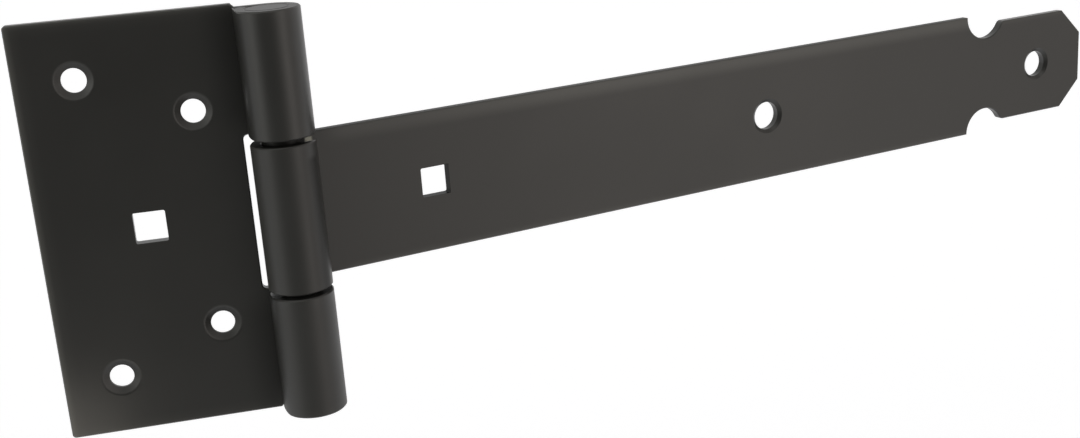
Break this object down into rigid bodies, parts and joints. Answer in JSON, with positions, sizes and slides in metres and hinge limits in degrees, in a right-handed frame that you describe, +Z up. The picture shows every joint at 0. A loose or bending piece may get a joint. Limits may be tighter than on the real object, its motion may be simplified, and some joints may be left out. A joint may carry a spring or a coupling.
{
  "type": "tee hinge",
  "caption": "Black coated tee hinge: a screw-on plate with rolled eyes and a long strap with a notched, chamfered tip, turning on one pin to hang a gate or shed door.",
  "frame": {"origin": "centre of the plate's square bolt hole, on the plate's mounting face", "axes": "+X along the plate towards the strap, +Y out of the mounting face into the post, +Z up along the pin"},
  "size_m": [0.3459, 0.0893, 0.1118],
  "materials": {
    "leaf_coat": "satin black coating on steel sheet",
    "pin_coat": "satin black coating on a steel bar"
  },
  "bodies": {
    "plate": {"plate_leaf": "leaf_coat", "hinge_pin": "pin_coat"},
    "strap": {"strap_leaf": "leaf_coat"}
  },
  "joints": [
    {"name": "strap_swing", "type": "hinge", "parent": "plate", "child": "strap", "pos_m": [0.0367, -0.0086, 0], "axis": [0, 0, 1], "range_deg": [-194.4, 75.6]}
  ]
}
